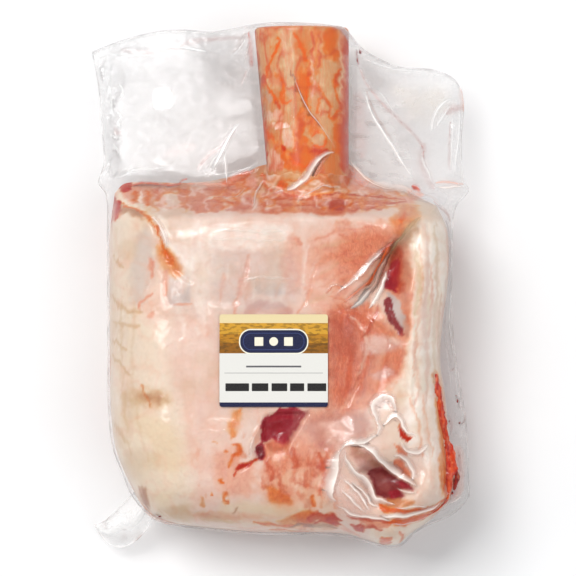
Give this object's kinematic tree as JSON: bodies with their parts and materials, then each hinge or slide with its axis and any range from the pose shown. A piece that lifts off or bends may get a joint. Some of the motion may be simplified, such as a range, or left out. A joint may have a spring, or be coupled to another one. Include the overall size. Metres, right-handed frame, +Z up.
{
  "type": "vacuum-packed bone-in beef shank",
  "caption": "Raw bone-in beef shank with a bare sawn bone, lying flat in a clear vacuum pack with empty film flaps and a plain printed card label.",
  "frame": {"origin": "centre of the pack's base, on the surface that it lies on", "axes": "+Y along the bone, from the thick end of the shank to the bone's sawn tip; +Z up out of the labelled face; +X to the right as seen from above"},
  "size_m": [0.199, 0.2753, 0.0974],
  "materials": {
    "packed_meat": "raw beef, fat and silverskin under clear vacuum film",
    "bare_bone": "scraped raw bone with red tissue",
    "clear_film": "clear glossy plastic film",
    "printed_card": "matt printed card"
  },
  "bodies": {
    "root": {"vacuum_bag": "packed_meat", "label": "printed_card"}
  },
  "joints": []
}
